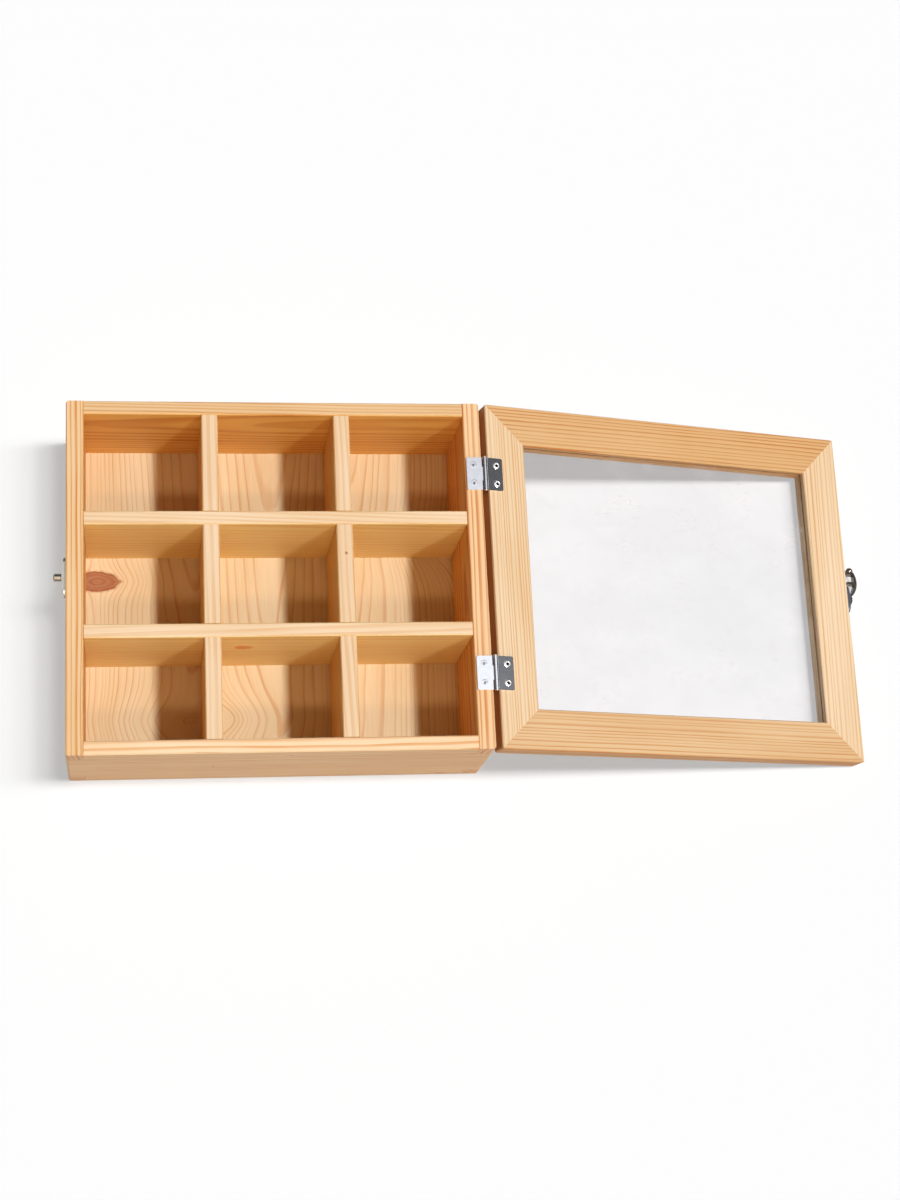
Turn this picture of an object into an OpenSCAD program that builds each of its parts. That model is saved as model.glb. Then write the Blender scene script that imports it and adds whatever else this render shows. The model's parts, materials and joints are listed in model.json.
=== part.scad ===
// Tea bag organizer: a finger-jointed wooden box with nine compartments and a hinged, glazed lid.
// The lid is drawn wide open, swung past flat so that its far edge rests on the table.
// Origin: centre of the box's underside. X runs from the catch side to the hinge side, Z is up.
// All lengths are in millimetres and all angles in degrees.

/* [Box] */
// Outside width, catch side to hinge side
box_w = 240; // [200:1:300]
// Outside depth, front to back
box_d = 208; // [170:1:260]
// Outside height
box_h = 70; // [55:1:90]
// Thickness of the catch-side and hinge-side walls
side_t = 10; // [9:0.5:14]
// Thickness of the front and back walls
end_t = 8; // [7:0.5:12]
// Height of the top corner finger of each side wall
finger_top = 13; // [8:0.5:18]
// Height of the bottom corner finger of each side wall
finger_low = 12; // [8:0.5:18]
// Bevel along the hand-eased wooden edges
arris = 0.6; // [0.3:0.1:1]
// Radius of the box's upright corners
corner_r = 1.7; // [0.5:0.1:3]

/* [Floor] */
// Thickness of the bottom panel
panel_t = 4; // [3:0.5:6]
// Width of the rebate that the bottom panel sits in
rebate_d = 5; // [3:0.5:6]
// Gap between the bottom panel's edge and the rebate
panel_play = 0.2; // [0.1:0.05:0.5]

/* [Dividers] */
// Thickness of the dividers that run front to back
long_t = 9.5; // [6:0.5:12]
// Thickness of the dividers that run side to side
cross_t = 8; // [6:0.5:12]
// Gap on each side of a divider in a half-lap notch
lap_play = 0.1; // [0.05:0.05:0.3]
// Gap between a divider's end and the wall
end_play = 0.15; // [0.05:0.05:0.3]

/* [Lid] */
// Width of the frame rails
rail_w = 24; // [20:0.5:34]
// Thickness of the frame rails
lid_t = 12; // [11:0.5:16]
// Thickness of the clear pane
pane_t = 2; // [1:0.1:3]
// Depth of the groove that holds the pane
groove_d = 5; // [3:0.5:8]
// Depth of the pane's middle below the lid's inner face
groove_in = 4.8; // [4:0.1:6]
// Gap over the pane and at its edges in the groove
pane_play = 0.2; // [0.1:0.05:0.4]
// Radius of the lid's outer corners
lid_corner_r = 1.6; // [0.5:0.1:3]

/* [Hinges] */
// Length of a hinge along its pin
hinge_len = 20; // [16:0.5:30]
// Length of the middle knuckle with its gaps
mid_knuckle = 8.6; // [5:0.1:10]
// Distance from a hinge's middle to the box's front or back face
hinge_in = 44; // [30:1:60]
// Width of a leaf from the pin's axis to its free edge
leaf_w = 11; // [9.5:0.25:12]
// Thickness of a leaf
leaf_t = 1; // [0.8:0.1:1.4]
// Gap between the two leaves of a shut hinge
leaf_gap = 0.2; // [0.1:0.05:0.4]
// Outside diameter of the rolled knuckles
barrel_d = 3.2; // [2.8:0.1:3.6]
// Gap between the knuckles and the wood beside them
barrel_gap = 0.4; // [0.3:0.1:1]
// Diameter of the hinge pin
hinge_pin_d = 1.6; // [1.2:0.1:1.8]
// Radial running clearance of the lid's knuckles on the pin
pin_clear = 0.05; // [0.02:0.01:0.1]
// Gap between neighbouring knuckles
knuckle_gap = 0.2; // [0.1:0.05:0.4]
// Diameter of the pin's rounded ends
pin_end_d = 2.4; // [2:0.1:2.8]
// Height of the pin's rounded ends
pin_end_h = 0.5; // [0.3:0.1:1]
// Distance from the pin's axis to the screws
hinge_screw_out = 6.9; // [6:0.1:7.5]
// Distance between the two screws of a leaf
hinge_screw_gap = 11.2; // [9:0.1:14]
// Corner cut of a leaf
leaf_corner = 0.7; // [0.3:0.1:1.5]

/* [Screws] */
// Diameter of a hinge screw's head
hinge_head_d = 4.2; // [3.6:0.1:4.6]
// Diameter of a hinge screw's shank
hinge_shank_d = 2.2; // [1.8:0.1:2.6]
// Length of a hinge screw
hinge_screw_len = 9; // [6:0.5:9.5]
// Diameter of a latch screw's head
latch_head_d = 3.8; // [3.2:0.1:4.2]
// Diameter of a latch screw's shank
latch_shank_d = 2; // [1.6:0.1:2.2]
// Length of a latch screw below its plate
latch_screw_len = 7; // [5:0.5:8]
// Rise of a latch screw's domed head
latch_head_rise = 0.5; // [0.3:0.1:0.8]
// Width of the arms of the cross recess
recess_w = 0.6; // [0.4:0.1:0.8]
// Depth of the cross recess
recess_depth = 0.7; // [0.4:0.1:0.9]

/* [Latch plates] */
// Length of the catch plate on the box
catch_len = 24; // [22:0.5:30]
// Length of the hook plate on the lid
hook_plate_len = 20; // [19:0.5:26]
// Width of both plates
plate_w = 8; // [7:0.25:9]
// Height of the plates' domes
plate_crown = 2.5; // [2:0.1:3]
// Thickness of the plates at their tips
plate_edge = 0.8; // [0.5:0.1:1.2]
// Distance between the catch plate's screws
catch_screw_gap = 15; // [14:0.5:17]
// Distance between the hook plate's screws
hook_screw_gap = 13.2; // [12.6:0.2:14]
// Diameter of the catch pin
catch_pin_d = 4.3; // [3.5:0.1:5]
// Reach of the catch pin from the wall
catch_pin_out = 7.2; // [6:0.1:7.3]
// Diameter of the catch pin's riveted neck
catch_neck_d = 2.6; // [2:0.1:3]
// Depth of the spot face under the catch pin
spot_depth = 0.2; // [0.1:0.05:0.3]

/* [Hook] */
// Depth of the hook's pivot below the lid's inner face
pivot_in = 4.6; // [4.5:0.1:5.5]
// Distance from the pivot to the catch pin when hooked
hook_reach = 14; // [13:0.1:15]
// Width of the hook's arm
arm_w = 3; // [2.6:0.1:3.6]
// Thickness of the hook's arm
arm_t = 1.6; // [1.2:0.1:2]
// Radius of the bowed arm's middle line
bow_r = 11; // [10.8:0.1:12]
// Distance along the arm from the pivot to the top of the bow
bow_at = 11.5; // [11:0.1:12]
// Height of the bow's middle line over the wood
bow_out = 8.6; // [8.4:0.1:9.5]
// Distance from the pivot to the finger ball
ball_at = 19; // [18.6:0.1:21]
// Diameter of the finger ball
ball_d = 4.2; // [3.6:0.1:5]
// Diameter of the hook's eye
eye_d = 6.2; // [5.6:0.1:6.4]
// Thickness of the hook's eye
eye_t = 1.4; // [1:0.1:1.8]
// Gap under the hook's eye
eye_gap = 0.15; // [0.1:0.05:0.3]
// Diameter of the rivet's shank
rivet_d = 2.4; // [2:0.1:2.8]
// Diameter of the rivet's head
rivet_head_d = 3.2; // [2.9:0.1:3.4]
// Height of the rivet's head
rivet_head_h = 0.9; // [0.6:0.1:1.2]
// Gap between the claws and the catch pin
claw_clear = 0.25; // [0.2:0.05:0.4]
// Thickness of the claw nearer the pivot
claw_t = 1.3; // [1:0.1:1.6]
// Gap between the claws' tips and the catch plate
claw_lift = 0.4; // [0.3:0.1:0.8]

/* [Hidden] */
$fn = 48;

// Spaces inside the walls
inner_w = box_w - 2 * side_t;
inner_d = box_d - 2 * end_t;
cell_w = (inner_w - 2 * long_t) / 3;
cell_d = (inner_d - 2 * cross_t) / 3;
// Dividers' middle lines and the height at which they interlock
long_x = (cell_w + long_t) / 2;
cross_y = (cell_d + cross_t) / 2;
lap_z = (panel_t + box_h) / 2;

// Hinge axis, and where the lid's wood starts from it
leaf_drop = leaf_t + leaf_gap / 2;
axis_out = barrel_d / 2 + barrel_gap;
axis_x = box_w / 2 + axis_out;
axis_z = box_h + leaf_drop;
hinge_y = box_d / 2 - hinge_in;

// Tilt at which the open lid's bevelled far edge touches the table
far_reach = axis_out + box_w - arris;
far_drop = leaf_drop + lid_t;
open_tilt = asin(axis_z / norm([far_reach, far_drop])) - atan2(far_drop, far_reach);

// Height of the pane's groove above the lid's outer face
groove_h = pane_t + pane_play;
groove_z = lid_t - groove_in - groove_h / 2;

// Catch pin's height on the box, level with the throat of the hanging hook
catch_z = axis_z + leaf_drop + pivot_in - hook_reach;
throat_r = catch_pin_d / 2 + claw_clear;
bow_centre = bow_out - bow_r;
// Margin by which a cutting shape passes the face that it cuts
past = 1;

// Places one shape at each of two mirrored stations along Y
module both_ways(y) {
    for (side = [-1, 1])
        translate([0, side * y, 0]) children();
}

// Moves lid pieces from the hinge axis frame to the open lid
module on_lid() {
    translate([axis_x, 0, axis_z]) rotate([0, open_tilt, 0]) children();
}

// Board standing on edge along X, its top edges bevelled
module board_x(length, thick, bottom, top) {
    translate([-length / 2, 0, 0]) rotate([90, 0, 90]) linear_extrude(length)
        board_section(thick, bottom, top);
}

// Board standing on edge along Y, its top edges bevelled
module board_y(length, thick, bottom, top) {
    translate([0, length / 2, 0]) rotate([90, 0, 0]) linear_extrude(length)
        board_section(thick, bottom, top);
}

module board_section(thick, bottom, top) {
    half = thick / 2;
    polygon([
        [-half, bottom], [half, bottom], [half, top - arris], [half - arris, top],
        [arris - half, top], [-half, top - arris]
    ]);
}

// Waste outside a rounded upright corner at the origin, the wood lying towards +X and +Y
module corner_waste(r, height) {
    difference() {
        translate([-past, -past, -past]) cube([r + past, r + past, height + 2 * past]);
        translate([r, r, -2 * past]) cylinder(h = height + 4 * past, r = r);
    }
}

// Waste outside all four upright corners of the box
module box_corners() {
    for (x = [0, 1], y = [0, 1])
        mirror([x, 0, 0]) mirror([0, y, 0]) translate([-box_w / 2, -box_d / 2, 0])
            corner_waste(corner_r, box_h);
}

// Space that the rebate round the bottom panel takes from the walls
module rebate() {
    size = [inner_w + 2 * rebate_d, inner_d + 2 * rebate_d, panel_t + past];
    translate([-size.x / 2, -size.y / 2, -past]) cube(size);
}

// Front wall: between the side walls above and below, full width at its middle finger
module end_wall() {
    difference() {
        translate([0, (end_t - box_d) / 2, 0]) union() {
            board_x(inner_w, end_t, 0, box_h);
            translate([-box_w / 2, -end_t / 2, finger_low])
                cube([box_w, end_t, box_h - finger_low - finger_top]);
        }
        rebate();
        box_corners();
    }
}

// Side wall: full depth at its top and bottom fingers, recessed between them
module side_wall() {
    difference() {
        board_y(box_d, side_t, 0, box_h);
        for (end = [-1, 1])
            translate([-side_t, end > 0 ? inner_d / 2 : -inner_d / 2 - end_t - past, finger_low])
                cube([2 * side_t, end_t + past, box_h - finger_low - finger_top]);
    }
}

// Screw pointing down from a countersink whose rim is at z = 0, with a cross recess
module wood_screw(head_d, shank_d, length, rise) {
    cone_h = (head_d - shank_d) / 2;
    tip_h = shank_d;
    dome_r = rise > 0 ? (head_d * head_d / 4 + rise * rise) / (2 * rise) : 0;
    difference() {
        union() {
            screw_hole(head_d, shank_d, length - tip_h, 0);
            translate([0, 0, -length]) cylinder(h = tip_h, r1 = recess_w / 2, r2 = shank_d / 2);
            if (rise > 0)
                intersection() {
                    translate([0, 0, rise - dome_r]) sphere(dome_r);
                    cylinder(h = rise + past, d = head_d);
                }
        }
        for (turn = [0, 90])
            rotate([0, 0, turn]) translate([-cone_h - recess_w, -recess_w / 2, rise - recess_depth])
                cube([2 * (cone_h + recess_w), recess_w, recess_depth + past]);
    }
}

// Countersink and shank of a screw, lengthened upwards by over to cut through
module screw_hole(head_d, shank_d, length, over) {
    cone_h = (head_d - shank_d) / 2;
    translate([0, 0, -length]) cylinder(h = length, d = shank_d);
    translate([0, 0, -cone_h]) cylinder(h = cone_h, d1 = shank_d, d2 = head_d);
    if (over > 0)
        cylinder(h = over, d = head_d);
}

// Pilot bore of a screw, down to where its pointed tip ends
module pilot(shank_d, length) {
    translate([0, 0, -length]) cylinder(h = length + past, d = shank_d);
}

// Both screw stations of one hinge leaf, in the hinge frame on the leaf's +X side
module at_leaf_screws() {
    both_ways(hinge_screw_gap / 2)
        translate([hinge_screw_out, 0, -leaf_gap / 2]) children();
}

// One rolled-knuckle leaf on the +X side of a pin along Y
module leaf(spans, bore_d) {
    slab = [leaf_w, hinge_len / 2];
    root = axis_out;
    difference() {
        union() {
            translate([0, 0, -leaf_drop]) linear_extrude(leaf_t)
                polygon([
                    [root, -slab.y], [slab.x - leaf_corner, -slab.y], [slab.x, leaf_corner - slab.y],
                    [slab.x, slab.y - leaf_corner], [slab.x - leaf_corner, slab.y], [root, slab.y]
                ]);
            for (span = spans) {
                translate([0, span[0], -leaf_drop]) cube([root, span[1] - span[0], leaf_t]);
                translate([0, span[0], 0]) rotate([-90, 0, 0])
                    cylinder(h = span[1] - span[0], d = barrel_d);
            }
        }
        translate([0, -hinge_len, 0]) rotate([-90, 0, 0]) cylinder(h = 2 * hinge_len, d = bore_d);
        at_leaf_screws() screw_hole(hinge_head_d, hinge_shank_d, leaf_t + past, past);
    }
}

// Box leaf, which carries the middle knuckle and grips the pin
module box_leaf() {
    half = (mid_knuckle - knuckle_gap) / 2;
    mirror([1, 0, 0]) leaf([[-half, half]], hinge_pin_d);
}

// Lid leaf, which carries the two outer knuckles and turns on the pin
module lid_leaf() {
    near = (mid_knuckle + knuckle_gap) / 2;
    far = hinge_len / 2;
    leaf([[-far, -near], [near, far]], hinge_pin_d + 2 * pin_clear);
}

module hinge_pin() {
    stem = hinge_len + 2 * knuckle_gap;
    rotate([-90, 0, 0]) translate([0, 0, -stem / 2]) cylinder(h = stem, d = hinge_pin_d);
    for (end = [0, 180])
        rotate([-90 + end, 0, 0]) translate([0, 0, stem / 2 - knuckle_gap / 2])
            cylinder(h = pin_end_h, d1 = pin_end_d, d2 = hinge_pin_d);
}

// Domed plate with round ends along Y, its back at x = 0 and its dome towards +X
module domed_plate(length, screw_gap) {
    fall = plate_crown - plate_edge;
    dome_r = (length * length / 4 + fall * fall) / (2 * fall);
    difference() {
        intersection() {
            rotate([0, 90, 0]) linear_extrude(plate_crown) {
                translate([-plate_w / 2, (plate_w - length) / 2]) square([plate_w, length - plate_w]);
                for (end = [-1, 1])
                    translate([0, end * (length - plate_w) / 2]) circle(d = plate_w);
            }
            translate([plate_crown - dome_r, 0, 0]) sphere(dome_r, $fn = 128);
        }
        at_plate_screws(length, screw_gap)
            screw_hole(latch_head_d, latch_shank_d, plate_crown + past, past);
    }
}

// Both screw stations of a domed plate, each on the dome and pointing into the wood
module at_plate_screws(length, screw_gap) {
    both_ways(screw_gap / 2)
        translate([plate_seat(length, screw_gap), 0, 0]) rotate([0, 90, 0]) children();
}

// Height of the dome at the outer rim of a screw head
function plate_seat(length, screw_gap) =
    let (fall = plate_crown - plate_edge,
         dome_r = (length * length / 4 + fall * fall) / (2 * fall),
         rim = (screw_gap + latch_head_d) / 2)
    plate_crown - dome_r + sqrt(dome_r * dome_r - rim * rim);

module plate_screws(length, screw_gap) {
    at_plate_screws(length, screw_gap)
        wood_screw(latch_head_d, latch_shank_d, screw_depth(length, screw_gap), latch_head_rise);
}

function screw_depth(length, screw_gap) = plate_seat(length, screw_gap) + latch_screw_len;

module plate_pilots(length, screw_gap) {
    at_plate_screws(length, screw_gap) pilot(latch_shank_d, screw_depth(length, screw_gap));
}

// Moves catch pieces to the outside of the catch-side wall, dome outwards
module on_catch() {
    translate([-box_w / 2, 0, catch_z]) mirror([1, 0, 0]) children();
}

// Moves latch pieces to the far side face of the lid, dome outwards
module on_latch() {
    on_lid() translate([axis_out + box_w, 0, -leaf_drop - pivot_in]) children();
}

module front_wall() {
    color("burlywood") end_wall();
}

module back_wall() {
    color("burlywood") mirror([0, 1, 0]) end_wall();
}

module catch_side_wall() {
    color("burlywood") difference() {
        translate([(side_t - box_w) / 2, 0, 0]) side_wall();
        rebate();
        box_corners();
        on_catch() plate_pilots(catch_len, catch_screw_gap);
    }
}

module hinge_side_wall() {
    color("burlywood") difference() {
        translate([(box_w - side_t) / 2, 0, 0]) side_wall();
        rebate();
        box_corners();
        both_ways(hinge_y) translate([axis_x, 0, axis_z]) mirror([1, 0, 0])
            at_leaf_screws() pilot(hinge_shank_d, hinge_screw_len);
    }
}

module bottom_panel() {
    size = [inner_w + 2 * (rebate_d - panel_play), inner_d + 2 * (rebate_d - panel_play), panel_t];
    color("wheat") translate([-size.x / 2, -size.y / 2, 0]) cube(size);
}

// Front-to-back divider, notched from the top for the two dividers that cross it
module long_divider(x) {
    notch_w = cross_t + 2 * lap_play;
    color("navajowhite") translate([x, 0, 0]) difference() {
        board_y(inner_d - 2 * end_play, long_t, panel_t, box_h);
        both_ways(cross_y) translate([-long_t, -notch_w / 2, lap_z])
            cube([2 * long_t, notch_w, box_h]);
    }
}

// Side-to-side divider, notched from below for the two dividers that it crosses
module cross_divider(y) {
    notch_w = long_t + 2 * lap_play;
    color("navajowhite") translate([0, y, 0]) difference() {
        board_x(inner_w - 2 * end_play, cross_t, panel_t, box_h);
        for (x = [-long_x, long_x])
            translate([x - notch_w / 2, -cross_t, 0]) cube([notch_w, 2 * cross_t, lap_z]);
    }
}

// Mitred rail along X: outer edge at y = 0, groove for the pane in its inner edge
module rail(length) {
    difference() {
        mitred_rail(length);
        corner_waste(lid_corner_r, lid_t);
        translate([length, 0, 0]) mirror([1, 0, 0]) corner_waste(lid_corner_r, lid_t);
    }
}

module mitred_rail(length) {
    intersection() {
        rotate([90, 0, 90]) linear_extrude(length) difference() {
            polygon([
                [arris, 0], [rail_w - arris, 0], [rail_w, arris], [rail_w, lid_t - arris],
                [rail_w - arris, lid_t], [arris, lid_t], [0, lid_t - arris], [0, arris]
            ]);
            translate([rail_w - groove_d, groove_z]) square([groove_d + past, groove_h]);
        }
        linear_extrude(lid_t)
            polygon([[0, 0], [length, 0], [length - rail_w, rail_w], [rail_w, rail_w]]);
    }
}

// Front rail in the hinge axis frame
module front_rail() {
    translate([axis_out, -box_d / 2, -far_drop]) rail(box_w);
}

module lid_rail_front() {
    color("burlywood") on_lid() front_rail();
}

module lid_rail_back() {
    color("burlywood") on_lid() mirror([0, 1, 0]) front_rail();
}

module lid_rail_hinge() {
    color("burlywood") on_lid() difference() {
        translate([axis_out, box_d / 2, -far_drop]) rotate([0, 0, -90]) rail(box_d);
        both_ways(hinge_y) at_leaf_screws() pilot(hinge_shank_d, hinge_screw_len);
    }
}

module lid_rail_latch() {
    color("burlywood") difference() {
        on_lid() translate([axis_out + box_w, -box_d / 2, -far_drop]) rotate([0, 0, 90]) rail(box_d);
        on_latch() plate_pilots(hook_plate_len, hook_screw_gap);
    }
}

module window_pane() {
    edge = rail_w - groove_d + pane_play;
    color("lightcyan") on_lid() translate([axis_out + edge, edge - box_d / 2, groove_z - far_drop])
        cube([box_w - 2 * edge, box_d - 2 * edge, pane_t]);
}

module box_leaf_at(y) {
    color("silver") translate([axis_x, y, axis_z]) box_leaf();
}

module lid_leaf_at(y) {
    color("silver") on_lid() translate([0, y, 0]) lid_leaf();
}

module hinge_pin_at(y) {
    color("gainsboro") translate([axis_x, y, axis_z]) hinge_pin();
}

module box_leaf_screws() {
    color("gainsboro") both_ways(hinge_y) translate([axis_x, 0, axis_z]) mirror([1, 0, 0])
        at_leaf_screws() wood_screw(hinge_head_d, hinge_shank_d, hinge_screw_len, 0);
}

module lid_leaf_screws() {
    color("gainsboro") on_lid() both_ways(hinge_y)
        at_leaf_screws() wood_screw(hinge_head_d, hinge_shank_d, hinge_screw_len, 0);
}

module catch_plate() {
    color("darkgray") on_catch() difference() {
        domed_plate(catch_len, catch_screw_gap);
        rotate([0, 90, 0]) cylinder(h = plate_crown + past, d = catch_neck_d);
        translate([plate_crown - spot_depth, 0, 0]) rotate([0, 90, 0])
            cylinder(h = spot_depth + past, d = catch_pin_d);
    }
}

// Catch pin: neck riveted through the plate, round-nosed stem standing on it
module catch_pin() {
    seat = plate_crown - spot_depth;
    nose_r = catch_pin_d * 0.75;
    color("darkgray") on_catch() rotate([0, 90, 0]) rotate_extrude() {
        square([catch_neck_d / 2, seat + spot_depth]);
        intersection() {
            translate([0, seat]) square([catch_pin_d / 2, catch_pin_out - seat]);
            translate([0, catch_pin_out - nose_r]) circle(nose_r);
        }
    }
}

module catch_screws() {
    color("gray") on_catch() plate_screws(catch_len, catch_screw_gap);
}

module hook_plate() {
    color("slategray") on_latch() difference() {
        domed_plate(hook_plate_len, hook_screw_gap);
        rotate([0, 90, 0]) cylinder(h = plate_crown + past, d = rivet_d);
    }
}

module hook_plate_screws() {
    color("gray") on_latch() plate_screws(hook_plate_len, hook_screw_gap);
}

// Rivet that the hook turns on, its domed head clear of the eye
module hook_rivet() {
    head_x = plate_crown + 2 * eye_gap + eye_t;
    dome_r = (rivet_head_d * rivet_head_d / 4 + rivet_head_h * rivet_head_h) / (2 * rivet_head_h);
    color("dimgray") on_latch() {
        rotate([0, 90, 0]) cylinder(h = head_x, d = rivet_d);
        intersection() {
            translate([head_x, 0, 0]) rotate([0, 90, 0])
                cylinder(h = rivet_head_h, d = rivet_head_d);
            translate([head_x + rivet_head_h - dome_r, 0, 0]) sphere(dome_r);
        }
    }
}

// Side outline of the bowed arm with its two claws: x away from the wood, y along the arm
module hook_outline() {
    claw_tip = plate_crown + claw_lift;
    near = hook_reach - throat_r - claw_t;
    intersection() {
        translate([bow_centre, bow_at]) difference() {
            circle(bow_r + arm_t / 2, $fn = 96);
            circle(bow_r - arm_t / 2, $fn = 96);
        }
        translate([plate_crown + eye_gap, 0]) square([bow_out + arm_t, ball_at]);
    }
    intersection() {
        translate([bow_centre, bow_at]) circle(bow_r, $fn = 96);
        polygon([[claw_tip, near], [claw_tip, ball_at], [bow_out, ball_at], [bow_out, near - claw_t]]);
    }
}

// Swing hook: eye, bowed arm, throat for the catch pin between two claws, finger ball
module swing_hook() {
    eye_x = plate_crown + eye_gap;
    throat_top = catch_pin_out + claw_clear;
    ball_rise = sqrt(bow_r * bow_r - (ball_at - bow_at) * (ball_at - bow_at));
    color("dimgray") on_latch() difference() {
        union() {
            translate([eye_x, 0, 0]) rotate([0, 90, 0]) cylinder(h = eye_t, d = eye_d);
            translate([0, 0, -arm_w / 2]) linear_extrude(arm_w) hook_outline();
            translate([bow_centre + ball_rise, ball_at, 0]) sphere(d = ball_d);
        }
        rotate([0, 90, 0]) cylinder(h = eye_x + eye_t + past, d = rivet_d + 2 * pin_clear);
        translate([eye_x + eye_t, 0, 0]) rotate([0, 90, 0])
            cylinder(h = rivet_head_h + past, d = rivet_head_d + 2 * eye_gap);
        translate([0, hook_reach, 0]) {
            rotate([0, 90, 0]) cylinder(h = throat_top, r = throat_r);
            translate([0, -throat_r, 0]) cube([throat_top, 2 * throat_r, arm_w]);
        }
    }
}

front_wall();
back_wall();
catch_side_wall();
hinge_side_wall();
bottom_panel();
long_divider(-long_x);  // long_divider_left
long_divider(long_x);  // long_divider_right
cross_divider(-cross_y);  // cross_divider_front
cross_divider(cross_y);  // cross_divider_back
lid_rail_front();
lid_rail_back();
lid_rail_hinge();
lid_rail_latch();
window_pane();
box_leaf_at(-hinge_y);  // box_leaf_front
box_leaf_at(hinge_y);  // box_leaf_back
lid_leaf_at(-hinge_y);  // lid_leaf_front
lid_leaf_at(hinge_y);  // lid_leaf_back
hinge_pin_at(-hinge_y);  // hinge_pin_front
hinge_pin_at(hinge_y);  // hinge_pin_back
box_leaf_screws();
lid_leaf_screws();
catch_plate();
catch_pin();
catch_screws();
hook_plate();
hook_plate_screws();
hook_rivet();
swing_hook();
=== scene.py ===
"""Finishes, light and camera for a finger-jointed pine tea bag organizer with a glazed lid.

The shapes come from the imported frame. This script gives every board its own run of grain, the
fittings their metals and the pane its scuffs, and sets the pale studio that the box stands in.
"""

import json
import logging
import math
from dataclasses import dataclass, field
from enum import Enum
from typing import ClassVar, Dict, List, Mapping, Optional, Sequence, Tuple, Union

import bpy
from mathutils import Euler, Matrix, Vector


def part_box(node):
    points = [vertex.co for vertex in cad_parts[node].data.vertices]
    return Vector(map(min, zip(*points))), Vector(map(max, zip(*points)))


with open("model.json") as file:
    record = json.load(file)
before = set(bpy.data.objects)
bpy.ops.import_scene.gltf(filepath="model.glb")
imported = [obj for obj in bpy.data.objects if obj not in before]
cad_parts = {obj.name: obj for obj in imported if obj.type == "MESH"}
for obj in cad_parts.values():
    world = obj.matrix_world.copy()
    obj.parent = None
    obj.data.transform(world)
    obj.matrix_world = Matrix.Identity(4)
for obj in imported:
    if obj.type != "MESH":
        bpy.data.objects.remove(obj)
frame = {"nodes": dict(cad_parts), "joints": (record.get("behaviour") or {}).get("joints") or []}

log = logging.getLogger("tea_box")

MM = 0.001
PHOTO_WIDTH = 900
NOISE_MIDDLE = (0.5, 0.5, 0.5)

Colour = Tuple[float, float, float, float]
Triple = Tuple[float, float, float]
Socket = bpy.types.NodeSocket
Value = Union[float, Sequence[float], Socket]


def seen(red: float, green: float, blue: float) -> Colour:
    """Turns a colour as the eye reads it on a screen into the linear colour that shaders take.

    Args:
        red: Red from 0 to 255.
        green: Green from 0 to 255.
        blue: Blue from 0 to 255.

    Returns:
        The linear colour with full opacity.
    """
    channels = [channel / 255 for channel in (red, green, blue)]
    linear = [c / 12.92 if c <= 0.04045 else ((c + 0.055) / 1.055) ** 2.4 for c in channels]
    return (linear[0], linear[1], linear[2], 1.0)


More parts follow.
